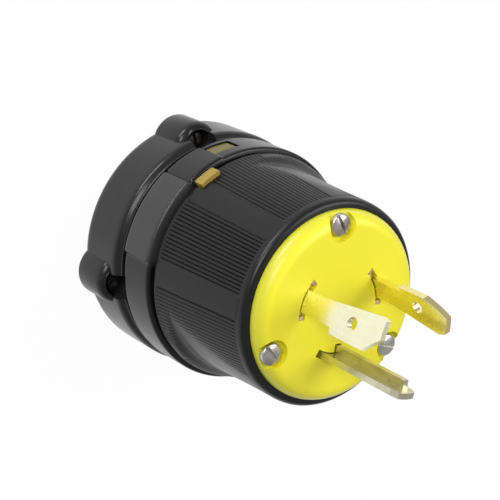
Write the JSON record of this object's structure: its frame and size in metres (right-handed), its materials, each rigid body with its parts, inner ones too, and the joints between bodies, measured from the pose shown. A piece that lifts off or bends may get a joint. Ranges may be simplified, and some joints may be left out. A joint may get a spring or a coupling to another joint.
{
  "type": "locking power plug",
  "caption": "Round locking power plug: ribbed black body with a clamp ring at the cord end, yellow nose with hooked curved blades and a ground blade.",
  "frame": {"origin": "centre of the flat cord end, on the plug's axis", "axes": "+Z along the plug's axis, from the cord end to the blade tips; the first clamp boss is 7 degrees from +X towards +Y"},
  "size_m": [0.074, 0.074, 0.1018],
  "materials": {
    "yellow_nylon": "moulded, satin",
    "black_nylon": "moulded, soft sheen",
    "brass": "stamped, bright",
    "plated_steel": "plated",
    "black_rubber": "matte"
  },
  "bodies": {
    "root": {"nose": "yellow_nylon", "inner_carrier": "yellow_nylon", "body_shell": "black_nylon", "collar": "black_nylon", "clamp_ring": "black_nylon", "blade_x": "brass", "blade_y": "brass", "ground_blade": "plated_steel", "terminal_clamp_1": "brass", "terminal_clamp_2": "brass", "terminal_clamp_3": "brass", "terminal_screw_1": "plated_steel", "terminal_screw_2": "plated_steel", "terminal_screw_3": "plated_steel", "face_screw_1": "plated_steel", "face_screw_2": "plated_steel", "face_screw_3": "plated_steel", "clamp_screw_1": "plated_steel", "clamp_screw_2": "plated_steel", "clamp_screw_3": "plated_steel", "clamp_screw_4": "plated_steel", "clamp_nut_1": "plated_steel", "clamp_nut_2": "plated_steel", "clamp_nut_3": "plated_steel", "clamp_nut_4": "plated_steel", "cord_jaw_1": "black_nylon", "cord_jaw_2": "black_nylon", "cord_grommet": "black_rubber", "dust_seal": "black_rubber"}
  },
  "joints": []
}
